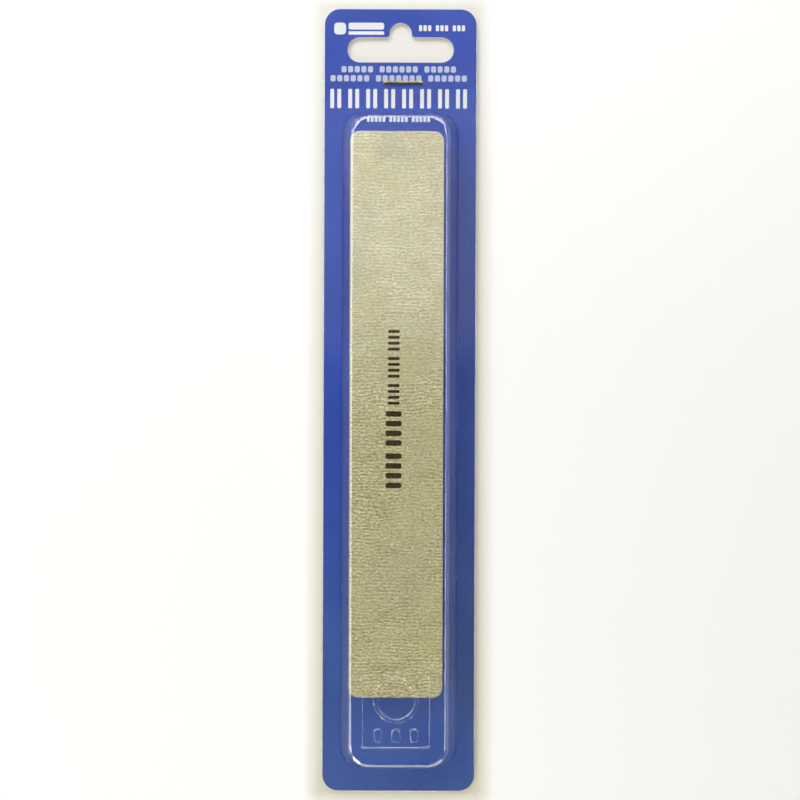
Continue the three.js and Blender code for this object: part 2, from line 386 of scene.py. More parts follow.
def fold_side(start, end, fold):
    """Distances along one side of the sheet, with a point at each end of its fold."""
    inner = spread(fold[0], fold[1], max(2, round((fold[1] - fold[0]) / FOLD_STEP)))
    return [start] + inner + [end]


def sheet_outline():
    """The front sheet's outline, and for each folded side its points' range and direction."""
    x = card_high.x - CARD_X - SHEET_INSET
    y = card_high.y - CARD_Y - SHEET_INSET
    flat_x = x - SHEET_CORNER
    flat_y = y - SHEET_CORNER
    points = []
    folds = []

    def straight(side, outward):
        folds.append((len(points) + 1, len(points) + len(side) - 1, outward))
        points.extend(side)

    points += arc((flat_x, -flat_y), SHEET_CORNER, -90, 0, 12)[:-1]
    side = fold_side(-flat_y, flat_y, SIDE_FOLD)
    straight([(x, value) for value in side], (1, 0))
    points += arc((flat_x, flat_y), SHEET_CORNER, 0, 90, 12)[1:]
    points += arc((-flat_x, flat_y), SHEET_CORNER, 90, 180, 12)[:-1]
    straight([(-x, value) for value in reversed(side)], (-1, 0))
    points += arc((-flat_x, -flat_y), SHEET_CORNER, 180, 270, 12)[1:-1]
    bottom = fold_side(-flat_x, flat_x, BOTTOM_FOLD)
    straight([(value, -y) for value in bottom], (0, -1))
    points.pop()
    return [(CARD_X + px, CARD_Y + py) for px, py in points], folds


def add_fold(film, edge, outward):
    """One edge of the film bent under the card, ending in a flap with cut corners."""
    out = Vector((*outward, 0))
    along = Vector((-outward[1], outward[0], 0))
    base = [film.outer[number].copy() for number in edge]
    middle = (base[0] + base[-1]).dot(along) / 2
    half = (base[-1] - base[0]).dot(along) / 2
    previous = edge

    def next_row(distance, outer_z, inner_distance, inner_z, shrink=0.0):
        row_outer = []
        row_inner = []
        for point in base:
            shift = (middle - point.dot(along)) * shrink / half
            start = point + along * shift
            row_outer.append((*(start + out * distance).xy, outer_z))
            row_inner.append((*(start + out * inner_distance).xy, inner_z))
        return film.row(row_outer, row_inner)

    rows = []
    inner_radius = FOLD_RADIUS - FILM
    for angle in spread(math.pi / 2, -math.pi / 2, FOLD_TURNS)[1:]:
        outward_share = math.cos(angle)
        up = math.sin(angle)
        rows.append(
            next_row(
                FOLD_RADIUS * outward_share,
                FOLD_RADIUS * (1 + up),
                inner_radius * outward_share,
                FOLD_RADIUS + inner_radius * up,
            )
        )
    rows.append(next_row(-FLAP_START, 0, -FLAP_START, FILM))
    rows.append(next_row(-FLAP_WIDTH, 0, -FLAP_WIDTH, FILM, FLAP_CHAMFER))
    for row in rows:
        film.faces += bridge(row, previous, closed=False)
        previous = row


def leg_hole(side):
    """The hole that a staple's leg is pushed through."""
    x = staple_high.x - WIRE / 2 if side > 0 else staple_low.x + WIRE / 2
    y = (staple_low.y + staple_high.y) / 2
    return arc((x, y), LEG_HOLE_RADIUS, 0, 360, 12)[:-1]


def clear_cover():
    film = Film()
    dome_base, dome_edge = add_dome(film)
    pad_edge = add_pad(film)
    film.fill(dome_edge, pad_edge)
    outline, folds = sheet_outline()
    sheet_edge = film.flat_row(outline, SHEET_FACE)
    slot = film.flat_row(slot_outline(), SHEET_FACE)
    holes = [film.flat_row(leg_hole(side), SHEET_FACE) for side in (-1, 1)]
    film.fill(sheet_edge, dome_base, slot, *holes)
    for first, last, outward in folds:
        add_fold(film, sheet_edge[first:last], outward)
    return film.solid("clear_cover")


# ---------------------------------------------------------------- sanding stick

WRINKLE_ROW = 0.2 * MM
WRINKLE_COLUMNS = 74
WRINKLE_DEPTH = 0.22 * MM
WRINKLE_PITCH_MM = 1.08
FRONT_SEED = 3.0
BACK_SEED = 91.0


def wrinkle(x, y, seed):
    """Relief of the crinkled abrasive sheet, from 0 in a crease to 1 on a crest."""
    u = x / MM
    v = y / MM
    sway = 0.9 * noise.noise(Vector((u / 9, v / 7, seed)))
    sway += 0.35 * noise.noise(Vector((u / 2.4, v / 2.2, seed + 7)))
    row = math.cos(2 * math.pi * (v / WRINKLE_PITCH_MM + sway))
    strength = 0.55 + 1.1 * noise.noise(Vector((u / 1.4, v / 1.1, seed + 20)))
    crumb = noise.noise(Vector((u / 0.8, v / 0.45, seed + 40)))
    broad = noise.noise(Vector((u / 7, v / 3, seed + 60)))
    return min(1.0, max(0.0, 0.5 + 0.26 * strength * row + 0.5 * crumb + 0.12 * broad))


def stick_half_width(y):
    """Half the stick's width at a distance from its middle, narrowing over the round corners."""
    past = max(0.0, abs(y) - STICK_LENGTH / 2 + STICK_CORNER)
    return STICK_WIDTH / 2 - STICK_CORNER + math.sqrt(max(0.0, STICK_CORNER**2 - past**2))


def stick_rows():
    """Places along the stick, close together where the corners turn."""
    flat = STICK_LENGTH / 2 - STICK_CORNER
    turn = [flat + STICK_CORNER * math.sin(math.radians(angle)) for angle in spread(0, 90, 22)]
    middle = spread(-flat, flat, round(2 * flat / WRINKLE_ROW))
    return [-value for value in reversed(turn[1:])] + middle + turn[1:]


def abrasive_sheet(name, node, facing, seed):
    """A closed sheet whose outer face is crinkled. facing is 1 for up and -1 for down."""
    low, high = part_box(node)
    outer = high.z if facing > 0 else low.z
    inner = low.z if facing > 0 else high.z
    columns = spread(-1, 1, WRINKLE_COLUMNS)
    vertices = []
    relief = []
    rows = []
    for y in stick_rows():
        half = stick_half_width(y)
        row = []
        for share in columns:
            x = share * half
            height = wrinkle(x, y, seed)
            row.append(len(vertices))
            relief.append(height)
            z = outer - facing * WRINKLE_DEPTH * (1 - height)
            vertices.append((STICK_X + x, STICK_Y + y, z))
        rows.append(row)
    faces = grid_faces(rows)
    edge = grid_edge(rows)
    first_inner = len(vertices)
    vertices += [(vertices[i][0], vertices[i][1], inner) for i in edge]
    inner_edge = list(range(first_inner, len(vertices)))
    relief += [0.5] * len(inner_edge)
    face_count = len(faces)
    faces += bridge(inner_edge, edge)
    faces.append(tuple(reversed(inner_edge)))
    if facing < 0:
        faces = [tuple(reversed(face)) for face in faces]
    piece = add_mesh(name, vertices, faces)
    attribute = piece.data.attributes.new("relief", "FLOAT", "POINT")
    attribute.data.foreach_set("value", relief)
    for face in piece.data.polygons[face_count:]:
        face.material_index = 1
    return piece


FOAM_LEVELS = 8
FOAM_HOLLOW = 0.12 * MM
FOAM_PIT = 0.16 * MM
FOAM_PITS_PER_MM = 2.1


def foam_layer(name, node, seed):
    """A foam slab whose cut sides are slightly hollow and open-celled."""
    low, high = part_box(node)
    levels = spread(0, 1, FOAM_LEVELS)
    outline = rounded_rectangle(
        STICK_WIDTH, STICK_LENGTH, STICK_CORNER, 16, across=70, along=420
    )
    vertices = []
    rows = []
    for level in levels:
        row = []
        for x, y in outline:
            end = smooth_step(STICK_LENGTH / 2 - STICK_CORNER, STICK_LENGTH / 2, abs(y))
            away = Vector((2 * x / STICK_WIDTH, math.copysign(end, y), 0)).normalized()
            spot = Vector((x, y, level * (high.z - low.z))) / MM
            cell = max(0.0, noise.noise(spot * FOAM_PITS_PER_MM + Vector((0, 0, seed))))
            hollow = FOAM_HOLLOW * math.sin(math.pi * level) + FOAM_PIT * cell
            point = Vector((STICK_X + x, STICK_Y + y, low.z + level * (high.z - low.z)))
            row.append(len(vertices))
            vertices.append(point - away * hollow)
        rows.append(row)
    faces = [face for a, b in zip(rows, rows[1:]) for face in bridge(a, b)]
    faces.append(tuple(reversed(rows[0])))
    faces.append(tuple(rows[-1]))
    return add_mesh(name, vertices, faces)


# ---------------------------------------------------------------- print and stamp

INK = 0.02 * MM
STAMP_STEP = 0.22 * MM
STAMP_SMALL = (3.7 * MM, 0.95 * MM, 0.9 * MM)
STAMP_LARGE = (5.0 * MM, 1.75 * MM, 1.3 * MM)
STAMP_SPACE = 1.1 * MM
MARK_CORNER = 0.3
PRINT_TOP = CARD_Y + 125 * MM
PRINT_X = CARD_X - 0.6 * MM


def relief_marks(name, bars):
    """Ink marks that follow the paper's wrinkles. bars holds (x, y, width, length)."""
    vertices = []
    faces = []
    for x, y, width, length in bars:
        corner = MARK_CORNER * min(width, length)
        rows = []
        for line in spread(-length / 2, length / 2, max(4, round(length / STAMP_STEP))):
            past = max(0.0, abs(line) - length / 2 + corner)
            half = width / 2 - corner + math.sqrt(max(0.0, corner**2 - past**2))
            row = []
            for px in spread(x - half, x + half, max(4, round(width / STAMP_STEP))):
                height = wrinkle(px - STICK_X, y + line - STICK_Y, FRONT_SEED)
                z = paper_high.z - WRINKLE_DEPTH * (1 - height)
                row.append(len(vertices))
                vertices.append((px, y + line, z + INK))
            rows.append(row)
        edge = grid_edge(rows)
        first = len(vertices)
        vertices += [(vertices[i][0], vertices[i][1], vertices[i][2] - 2 * INK) for i in edge]
        lower = list(range(first, len(vertices)))
        faces += grid_faces(rows)
        faces += bridge(lower, edge)
        faces.append(tuple(reversed(lower)))
    return add_mesh(name, vertices, faces)


def flat_marks(name, bars):
    """Flat ink marks on the card's face. bars holds (x, y, width, length)."""
    vertices = []
    faces = []
    for x, y, width, length in bars:
        outline = rounded_rectangle(width, length, MARK_CORNER * min(width, length), 6)
        first = len(vertices)
        count = len(outline)
        for height in (CARD_FACE - INK, CARD_FACE + INK):
            vertices += [(x + px, y + py, height) for px, py in outline]
        lower = list(range(first, first + count))
        upper = list(range(first + count, first + 2 * count))
        faces += bridge(lower, upper)
        faces.append(tuple(reversed(lower)))
        faces.append(tuple(upper))
    return add_mesh(name, vertices, faces)


def word_bars(x, y, widths, gap, height):
    """A line of marks from its left end, one bar for each width."""
    bars = []
    for width in widths:
        bars.append((x + width / 2, y, width, height))
        x += width + gap
    return bars


def line_of_marks(centre_x, y, pattern, mark, gap, height):
    """A centred line of equal marks. pattern holds how many marks stand in each group."""
    total = sum(pattern) * (mark + gap) + (len(pattern) - 1) * mark - gap
    x = centre_x - total / 2
    bars = []
    for group in pattern:
        bars += word_bars(x, y, [mark] * group, gap, height)
        x += group * (mark + gap) + mark
    return bars


def print_line(x, down, pattern, mark, gap, height):
    """A line of marks centred at x, `down` mm below the card's upper edge, sized in mm."""
    return line_of_marks(x, PRINT_TOP - down * MM, pattern, mark * MM, gap * MM, height * MM)


def card_print():
    """White and pale lilac marks where a printed card carries its text."""
    title = print_line(PRINT_X, 28.6, [2] * 8, 1.25, 1.0, 6.2)
    badge = [(CARD_X - 19.4 * MM, PRINT_TOP - 6.2 * MM, 3.8 * MM, 3.8 * MM)]
    badge += word_bars(CARD_X - 16.7 * MM, PRINT_TOP - 5.4 * MM, [11.4 * MM], 0, 2.2 * MM)
    badge += word_bars(CARD_X - 16.7 * MM, PRINT_TOP - 7.6 * MM, [11.4 * MM], 0, 1.1 * MM)
    number = print_line(CARD_X + 13.2 * MM, 6.0, [3, 3, 3], 1.05, 0.4, 1.9)
    below = print_line(PRINT_X, 35.3, [5, 5, 5], 0.9, 0.35, 1.5)
    white = flat_marks("card_print_white", title + badge + number + below)
    first = print_line(PRINT_X, 19.2, [5, 6, 5], 1.6, 0.52, 2.0)
    second = print_line(PRINT_X, 22.1, [6, 7, 6], 1.65, 0.5, 2.0)
    lilac = flat_marks("card_print_lilac", first + second)
    return white, lilac


def stick_stamp():
    """Dark marks stamped across the stick, in groups down its middle."""
    bars = []
    x = CARD_X - 1.8 * MM
    y = CARD_Y + 22.0 * MM
    for width, length, gap in [STAMP_SMALL] * 3 + [STAMP_LARGE] * 2:
        for _ in range(4):
            bars.append((x, y - length / 2, width, length))
            y -= length + gap
        y -= STAMP_SPACE
    return relief_marks("stick_stamp", bars)


# ---------------------------------------------------------------- staple


def wire_path():
    """The staple's centre line in (x, z): crown, two legs, and the points clinched inward."""
    bend = WIRE_BEND
    left = staple_low.x + WIRE / 2
    right = staple_high.x - WIRE / 2
    high = staple_high.z - WIRE / 2
    low = staple_low.z + WIRE / 2
    path = [(left + WIRE_CLINCH, low)]
    path += arc((left + bend, low + bend), bend, 270, 180, 6)
    path += arc((left + bend, high - bend), bend, 180, 90, 6)
    path += [(x, high) for x in spread(left + bend, right - bend, 16)[1:-1]]
    path += arc((right - bend, high - bend), bend, 90, 0, 6)
    path += arc((right - bend, low + bend), bend, 0, -90, 6)
    path.append((right - WIRE_CLINCH, low))
    return path


def staple_wire():
    """The bent wire, swept with a flat-sided, round-edged section."""
    path = [Vector((x, 0, z)) for x, z in wire_path()]
    y = (staple_low.y + staple_high.y) / 2
    section_points = rounded_rectangle(WIRE, WIRE_ALONG, WIRE_CORNER, 4)
    vertices = []
    rows = []
    for i, point in enumerate(path):
        before = path[max(0, i - 1)]
        after = path[min(len(path) - 1, i + 1)]
        tangent = (after - before).normalized()
        outward = Vector((tangent.z, 0, -tangent.x))
        taper = WIRE_POINT if i in (0, len(path) - 1) else 1.0
        row = []
        for across, along in section_points:
            row.append(len(vertices))
            offset = outward * across * taper
            vertices.append((point.x + offset.x, y + along, point.z + offset.z))
        rows.append(row)
    faces = [face for a, b in zip(rows, rows[1:]) for face in bridge(a, b)]
    faces.append(tuple(reversed(rows[0])))
    faces.append(tuple(rows[-1]))
    return add_mesh("staple_wire", vertices, faces)


# ---------------------------------------------------------------- materials


class Shader:
    """A short way to build one material, or the world, out of nodes.

    Places are in the piece's own metres.
    """

    def __init__(self, name, world=False):
        self.owner = bpy.data.worlds.new(name) if world else bpy.data.materials.new(name)
        self.owner.use_nodes = True
        self.output = "ShaderNodeOutputWorld" if world else "ShaderNodeOutputMaterial"
        self.tree = self.owner.node_tree
        self.tree.nodes.clear()
        self.place = self.add("ShaderNodeTexCoord").outputs["Object"]

    def add(self, kind, inputs=None, **settings):
        node = self.tree.nodes.new(kind)
        for key, value in settings.items():
            setattr(node, key, value)
        for key, value in (inputs or {}).items():
            if isinstance(value, bpy.types.NodeSocket):
                self.tree.links.new(value, node.inputs[key])
            else:
                node.inputs[key].default_value = value
        return node

    def noise(self, size, detail=3.0, roughness=0.5, stretch=(1, 1, 1)):
        """Noise from 0 to 1 whose features are about `size` metres, longer along `stretch`."""
        scale = [1 / (size * s) for s in stretch]
        place = self.add("ShaderNodeVectorMath", {0: self.place, 1: scale}, operation="MULTIPLY")
        node = self.add(
            "ShaderNodeTexNoise",
            {"Vector": place.outputs[0], "Scale": 1.0, "Detail": detail, "Roughness": roughness},
        )
        return node.outputs["Fac"]

    def remap(self, value, low, high, to_low=0.0, to_high=1.0, ease="LINEAR"):
        node = self.add(
            "ShaderNodeMapRange",
            {"Value": value, 1: low, 2: high, 3: to_low, 4: to_high},
            interpolation_type=ease,
        )
        return node.outputs[0]

    def mix(self, share, first, second):
        node = self.add("ShaderNodeMix", data_type="RGBA", clamp_factor=True)
        for key, value in ((0, share), (6, first), (7, second)):
            if isinstance(value, bpy.types.NodeSocket):
                self.tree.links.new(value, node.inputs[key])
            else:
                node.inputs[key].default_value = value
        return node.outputs[2]

    def vector(self, operation, first, second=None, output=0):
        inputs = {0: first} if second is None else {0: first, 1: second}
        return self.add("ShaderNodeVectorMath", inputs, operation=operation).outputs[output]

    def tint(self, first, second):
        """One colour multiplied by another."""
        return self.vector("MULTIPLY", first, second)

    def math(self, operation, first, second=0.0):
        return self.add("ShaderNodeMath", {0: first, 1: second}, operation=operation).outputs[0]

    def bump(self, height, distance, strength=1.0):
        node = self.add(
            "ShaderNodeBump", {"Height": height, "Distance": distance, "Strength": strength}
        )
        return node.outputs["Normal"]

    def finish(self, surface):
        output = self.add(self.output)
        self.tree.links.new(surface, output.inputs["Surface"])
        return self.owner

    def principled(self, color, roughness, normal, metallic=0.0, shine=0.5, glow=0.0):
        inputs = {
            "Base Color": color,
            "Roughness": roughness,
            "Normal": normal,
            "Metallic": metallic,
            "Specular IOR Level": shine,
            "Emission Color": color,
            "Emission Strength": glow,
        }
        return self.finish(self.add("ShaderNodeBsdfPrincipled", inputs).outputs[0])


def colour(red, green, blue):
    """A display colour, 0 to 255, as the linear colour that shaders take."""
    def linear(value):
        share = value / 255
        return share / 12.92 if share <= 0.04045 else ((share + 0.055) / 1.055) ** 2.4
    return (linear(red), linear(green), linear(blue), 1.0)


# Painted light on the card's blue at its upper and lower ends
CARD_HIGH_PAINTED_LIGHT = (0.93, 1.0, 1.15, 1)
CARD_LOW_PAINTED_LIGHT = (1.6, 1.44, 1.02, 1)
# Painted shadow of the dome on the card to its right
CARD_PAINTED_DOME_SHADOW = (0.9, 0.84, 0.74)


def printed_card():
    """Blue ink under a thin varnish on the face, bare white board on the cut edge and the back.

    Painted light makes the blue bluer high up and duller and warmer low down, and a painted
    shadow of the dome darkens it in the strip to the right of the dome.
    """
    shader = Shader("printed_card")
    normal = shader.add("ShaderNodeNewGeometry").outputs["True Normal"]
    up = shader.add("ShaderNodeSeparateXYZ", {0: normal}).outputs["Z"]
    is_face = shader.remap(up, 0.5, 0.6)
    cloud = shader.noise(22 * MM, 2)
    fibre = shader.noise(0.35 * MM, 4, 0.6)
    ink = shader.mix(shader.remap(cloud, 0.3, 0.7), colour(38, 68, 162), colour(48, 78, 172))
    ink = shader.mix(shader.remap(fibre, 0.45, 0.75, 0, 0.3), ink, colour(66, 94, 184))
    specks = shader.remap(shader.noise(1.7 * MM, 2), 0.7, 0.76, 0, 0.6)
    ink = shader.mix(specks, ink, colour(30, 50, 122))
    pulp = shader.remap(fibre, 0.3, 0.7)
    board = shader.mix(pulp, colour(214, 210, 200), colour(238, 236, 229))
    grain = shader.noise(3 * MM, 3, 0.5, (1, 6, 1))
    board = shader.mix(shader.remap(grain, 0.5, 0.8, 0, 0.4), board, colour(222, 214, 196))
    place = shader.add("ShaderNodeSeparateXYZ", {0: shader.place})
    # Painted light: the blue is bluer high up and brighter and warmer low down
    low_end = shader.remap(place.outputs["Y"], CARD_Y - 18 * MM, CARD_Y - 85 * MM)
    shade = shader.mix(low_end, CARD_HIGH_PAINTED_LIGHT, CARD_LOW_PAINTED_LIGHT)
    ink = shader.tint(ink, shade)
    # Painted shadow of the dome on the card to its right, fading out past the dome's ends
    foot = DOME_X + DOME_WIDTH / 2
    painted_shadow_mask = shader.remap(place.outputs["X"], foot - 0.2 * MM, foot + 0.2 * MM)
    from_middle = shader.math("SUBTRACT", place.outputs["Y"], DOME_Y)
    from_middle = shader.math("ABSOLUTE", from_middle)
    past_end = shader.remap(from_middle, DOME_LENGTH / 2 - 24 * MM, DOME_LENGTH / 2 - 8 * MM)
    painted_shadow_mask = shader.math("SUBTRACT", painted_shadow_mask, past_end)
    ink = shader.mix(painted_shadow_mask, ink, shader.tint(ink, CARD_PAINTED_DOME_SHADOW))
    surface = shader.mix(is_face, board, ink)
    varnish = shader.remap(cloud, 0.3, 0.7, 0.42, 0.52)
    rough = shader.math("MAXIMUM", varnish, shader.remap(up, 0.5, 0.6, 0.85, 0))
    bump = shader.bump(fibre, 0.02 * MM, 0.6)
    return shader.principled(surface, rough, bump, shine=0.17)


LEVEL_MIRROR = 0.3
LEVEL_MIRROR_MOST = 0.016
FOOT_MIRROR = 0.35
FOOT_PAINTED_SHADE = (0.72, 0.76, 0.84, 1)
SHADOW_TINT = (0.42, 0.43, 0.4, 1)
HAZE_TINT = (0.95, 0.95, 0.92, 1)
EDGE_HAZE = 0.07


def clear_film():
    """Formed clear sheet: it mirrors more and lets less through where it is seen edge-on.

    Its level stretches mirror little and its walls are hazy; at the dome's foot it mirrors less
    and is darkened as painted shade.
    """
    shader = Shader("clear_film")
    waves = shader.noise(16 * MM, 2, 0.4)
    scuffs = shader.noise(1.2 * MM, 5, 0.65, (1, 4, 1))
    height = shader.math("ADD", waves, shader.math("MULTIPLY", scuffs, 0.006))
    normal = shader.bump(height, 0.12 * MM, 1.0)
    backfacing = shader.add("ShaderNodeNewGeometry").outputs["Backfacing"]
    index = shader.remap(backfacing, 0, 1, 1.5, 1 / 1.5)
    mirror = shader.add("ShaderNodeFresnel", {"IOR": index, "Normal": normal}).outputs[0]
    face = shader.add("ShaderNodeNewGeometry").outputs["True Normal"]
    level = shader.vector("DOT_PRODUCT", face, (0, 0, 1), output="Value")
    level = shader.math("ABSOLUTE", level)
    level = shader.remap(level, 0.9985, 0.9998)
    dimmed = shader.math("MULTIPLY", mirror, LEVEL_MIRROR)
    dimmed = shader.math("MINIMUM", dimmed, LEVEL_MIRROR_MOST)
    excess = shader.math("SUBTRACT", mirror, dimmed)
    mirror = shader.math("SUBTRACT", mirror, shader.math("MULTIPLY", level, excess))
    foot = shader.add("ShaderNodeAttribute", attribute_name="foot").outputs["Fac"]
    mirror = shader.math("MULTIPLY", mirror, shader.remap(foot, 0, 1, 1.0, FOOT_MIRROR))
    rough = shader.remap(scuffs, 0.35, 0.75, 0.03, 0.09)
    edge_on = shader.add("ShaderNodeLayerWeight", {"Normal": normal}).outputs["Facing"]
    edge_on = shader.math("POWER", edge_on, 2.0)
    shadow = shader.add("ShaderNodeLightPath").outputs["Is Shadow Ray"]
    edge_tint = shader.mix(shadow, (0.9, 0.93, 0.96, 1), SHADOW_TINT)
    tint = shader.mix(edge_on, (0.99, 0.995, 0.995, 1), edge_tint)
    # Painted shade: a darker tint at the dome's foot
    tint = shader.mix(foot, tint, FOOT_PAINTED_SHADE)
    clear = shader.add("ShaderNodeBsdfTransparent", {"Color": tint})
    gloss = shader.add("ShaderNodeBsdfGlossy", {"Roughness": rough, "Normal": normal})
    front = shader.add("ShaderNodeBsdfDiffuse", {"Color": HAZE_TINT})
    through = shader.add("ShaderNodeBsdfTranslucent", {"Color": HAZE_TINT})
    haze = shader.add("ShaderNodeMixShader", {0: 0.5, 1: front.outputs[0], 2: through.outputs[0]})
    dust = shader.remap(scuffs, 0.4, 0.85, 0.001, 0.012)
    wall_haze = shader.math("MULTIPLY", edge_on, shader.remap(level, 0, 1, EDGE_HAZE, 0))
    dust = shader.math("ADD", dust, wall_haze)
    body = shader.add("ShaderNodeMixShader", {0: dust, 1: clear.outputs[0], 2: haze.outputs[0]})
    mirrored = gloss.outputs[0]
    surface = shader.add("ShaderNodeMixShader", {0: mirror, 1: body.outputs[0], 2: mirrored})
    return shader.finish(surface.outputs[0])


def abrasive_paper():
    """Olive grey grit on crinkled paper, soft blotches, painted crest highlights and crease
    shade.
    """
    shader = Shader("abrasive_paper")
    relief = shader.add("ShaderNodeAttribute", attribute_name="relief").outputs["Fac"]
    along = shader.add("ShaderNodeSeparateXYZ", {0: shader.place}).outputs["Y"]
    low_end = shader.remap(along, STICK_Y + STICK_LENGTH * 0.3, STICK_Y - STICK_LENGTH * 0.05)
    # Painted shade in the creases, deeper toward the lower end, and painted highlights on the
    # crests
    crease_painted_shade = shader.mix(low_end, colour(184, 175, 130), colour(162, 152, 104))
    crease = shader.remap(relief, 0.22, 0.62)
    base = shader.mix(crease, crease_painted_shade, colour(226, 219, 182))
    base = shader.mix(shader.remap(relief, 0.6, 0.85), base, colour(255, 251, 220))
    # The crest and crease colours are evened toward the upper end
    evened_near_top = shader.remap(low_end, 0, 1, 0.3, 0)
    base = shader.mix(evened_near_top, base, colour(220, 213, 176))
    # Painted light: the upper end brighter and bluer, the lower end dimmer and warmer
    shade = shader.mix(low_end, (1.24, 1.23, 1.34, 1), (0.9, 0.87, 0.73, 1))
    base = shader.tint(base, shade)
    blotch = shader.noise(16 * MM, 3, 0.5)
    base = shader.mix(shader.remap(blotch, 0.4, 0.68, 0, 0.45), base, colour(192, 188, 156))
    yellow = shader.remap(shader.noise(11 * MM, 2), 0.5, 0.72, 0, 0.4)
    base = shader.mix(yellow, base, colour(214, 204, 142))
    warm = shader.remap(shader.noise(5 * MM, 2), 0.52, 0.72, 0, 0.42)
    warm = shader.math("MULTIPLY", warm, shader.remap(low_end, 0, 1, 1, 0.35))
    base = shader.mix(warm, base, colour(224, 194, 158))
    # Pale and dark flecks: painted highlights and shade of crinkles finer than the mesh
    fleck = shader.noise(0.3 * MM, 2, 0.5, (2.6, 1, 1))
    base = shader.mix(shader.remap(fleck, 0.56, 0.72, 0, 0.6), base, colour(250, 246, 216))
    base = shader.mix(shader.remap(fleck, 0.44, 0.28, 0, 0.4), base, colour(160, 150, 102))
    grit = shader.noise(0.14 * MM, 2, 0.6)
    base = shader.mix(shader.remap(grit, 0.42, 0.25, 0, 0.3), base, colour(120, 110, 72))
    height = shader.math("ADD", fleck, shader.math("MULTIPLY", grit, 0.5))
    bump = shader.bump(height, 0.09 * MM, 1.0)
    return shader.principled(base, 0.92, bump, shine=0.15)


def paper_edge():
    """The cut edge and the plain inner face of the abrasive paper."""
    shader = Shader("paper_edge")
    fibre = shader.noise(0.25 * MM, 4, 0.6)
    base = shader.mix(fibre, colour(178, 164, 128), colour(214, 204, 176))
    return shader.principled(base, 0.9, shader.bump(fibre, 0.03 * MM))


def soft_foam():
    """Pale closed-cell foam with small pits."""
    shader = Shader("soft_foam")
    cells = shader.add(
        "ShaderNodeTexVoronoi", {"Vector": shader.place, "Scale": 1 / (0.4 * MM)}
    ).outputs["Distance"]
    tone = shader.noise(6 * MM, 3)
    # Painted shade: the foam is darker in its pits
    base = shader.mix(shader.remap(cells, 0.1, 0.6), colour(186, 183, 172), colour(230, 227, 216))
    base = shader.mix(shader.remap(tone, 0.4, 0.7, 0, 0.3), base, colour(210, 202, 180))
    return shader.principled(base, 0.95, shader.bump(cells, 0.12 * MM, 0.8))


def adhesive_film():
    """Thin cream adhesive film, slightly glossy where it shows at the edge."""
    shader = Shader("adhesive_film")
    flow = shader.noise(2.5 * MM, 3, 0.5, (1, 3, 1))
    base = shader.mix(flow, colour(214, 200, 150), colour(236, 228, 196))
    rough = shader.remap(flow, 0.3, 0.7, 0.25, 0.45)
    return shader.principled(base, rough, shader.bump(flow, 0.02 * MM))


def white_plastic():
    """Extruded white plastic strip with fine draw lines along its length."""
    shader = Shader("white_plastic")
    lines = shader.noise(0.3 * MM, 3, 0.5, (1, 60, 1))
    tone = shader.noise(12 * MM, 2)
    base = shader.mix(tone, colour(232, 232, 228), colour(246, 246, 242))
    rough = shader.remap(lines, 0.3, 0.7, 0.36, 0.52)
    return shader.principled(base, rough, shader.bump(lines, 0.01 * MM))


def brass_wire():
    """Brass-coated staple wire, dulled and scratched along its length."""
    shader = Shader("brass_wire")
    scratch = shader.noise(0.12 * MM, 4, 0.6, (14, 1, 1))
    tarnish = shader.noise(1.6 * MM, 3, 0.6)
    base = shader.mix(shader.remap(tarnish, 0.35, 0.7), colour(146, 131, 82), colour(94, 83, 46))
    rough = shader.remap(scratch, 0.3, 0.7, 0.22, 0.42)
    return shader.principled(base, rough, shader.bump(scratch, 0.02 * MM), metallic=1.0)


def card_ink(name, shade):
    """Opaque printing ink, slightly uneven, under the card's varnish."""
    shader = Shader(name)
    patch = shader.noise(0.5 * MM, 3, 0.6)
    dimmed = tuple(channel * 0.93 for channel in shade[:3]) + (1.0,)
    base = shader.mix(shader.remap(patch, 0.35, 0.6), dimmed, shade)
    return shader.principled(base, 0.48, shader.bump(patch, 0.01 * MM), shine=0.25)


def stamp_ink():
    """Brown rubber-stamp ink, uneven in tone."""
    shader = Shader("stamp_ink")
    patch = shader.noise(0.5 * MM, 4, 0.65)
    base = shader.mix(shader.remap(patch, 0.4, 0.75), colour(40, 24, 2), colour(92, 62, 16))
    return shader.principled(base, 0.85, shader.bump(patch, 0.04 * MM), shine=0.1)


def pale_floor():
    """Plain white floor, with a painted contact shadow close around the pack and in its slot."""
    shader = Shader("pale_floor")
    drift = shader.noise(180 * MM, 2)
    half_width = (card_high.x - card_low.x) / 2
    half_length = (card_high.y - card_low.y) / 2
    place = shader.vector("SUBTRACT", shader.place, (CARD_X, CARD_Y, 0))
    away = shader.vector("ABSOLUTE", place)
    away = shader.vector("SUBTRACT", away, (half_width, half_length, 1))
    away = shader.vector("MAXIMUM", away, (0, 0, 0))
    distance = shader.vector("LENGTH", away, output="Value")
    # Painted contact shadow: darker near the pack's edges and in its slot, warmer toward the
    # lower end
    near = shader.remap(distance, 1.0 * MM, 6.5 * MM, 1, 0)
    along = shader.add("ShaderNodeSeparateXYZ", {0: place}).outputs["Y"]
    low_end = shader.remap(along, half_length, -half_length)
    painted_contact_shadow = shader.mix(low_end, (0.82, 0.8, 0.77, 1), (0.7, 0.67, 0.55, 1))
    shade = shader.mix(near, (1, 1, 1, 1), painted_contact_shadow)
    base = shader.mix(drift, colour(249, 249, 247), colour(252, 252, 251))
    base = shader.tint(base, shade)
    bump = shader.bump(drift, 0.1 * MM)
    return shader.principled(base, 0.8, bump, shine=0.1, glow=FLOOR_GLOW)


# ---------------------------------------------------------------- assembly


def dress(piece, materials, body, node=None):
    """Gives a piece its materials and its body, and the CAD node that it stands for."""
    for material in materials:
        piece.data.materials.append(material)
    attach(piece, body)
    if node:
        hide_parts(node)


def repaint(node, material):
    """Gives a CAD node that keeps its shape a finished material."""
    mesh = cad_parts[node].data
    mesh.materials.clear()
    mesh.materials.append(material)


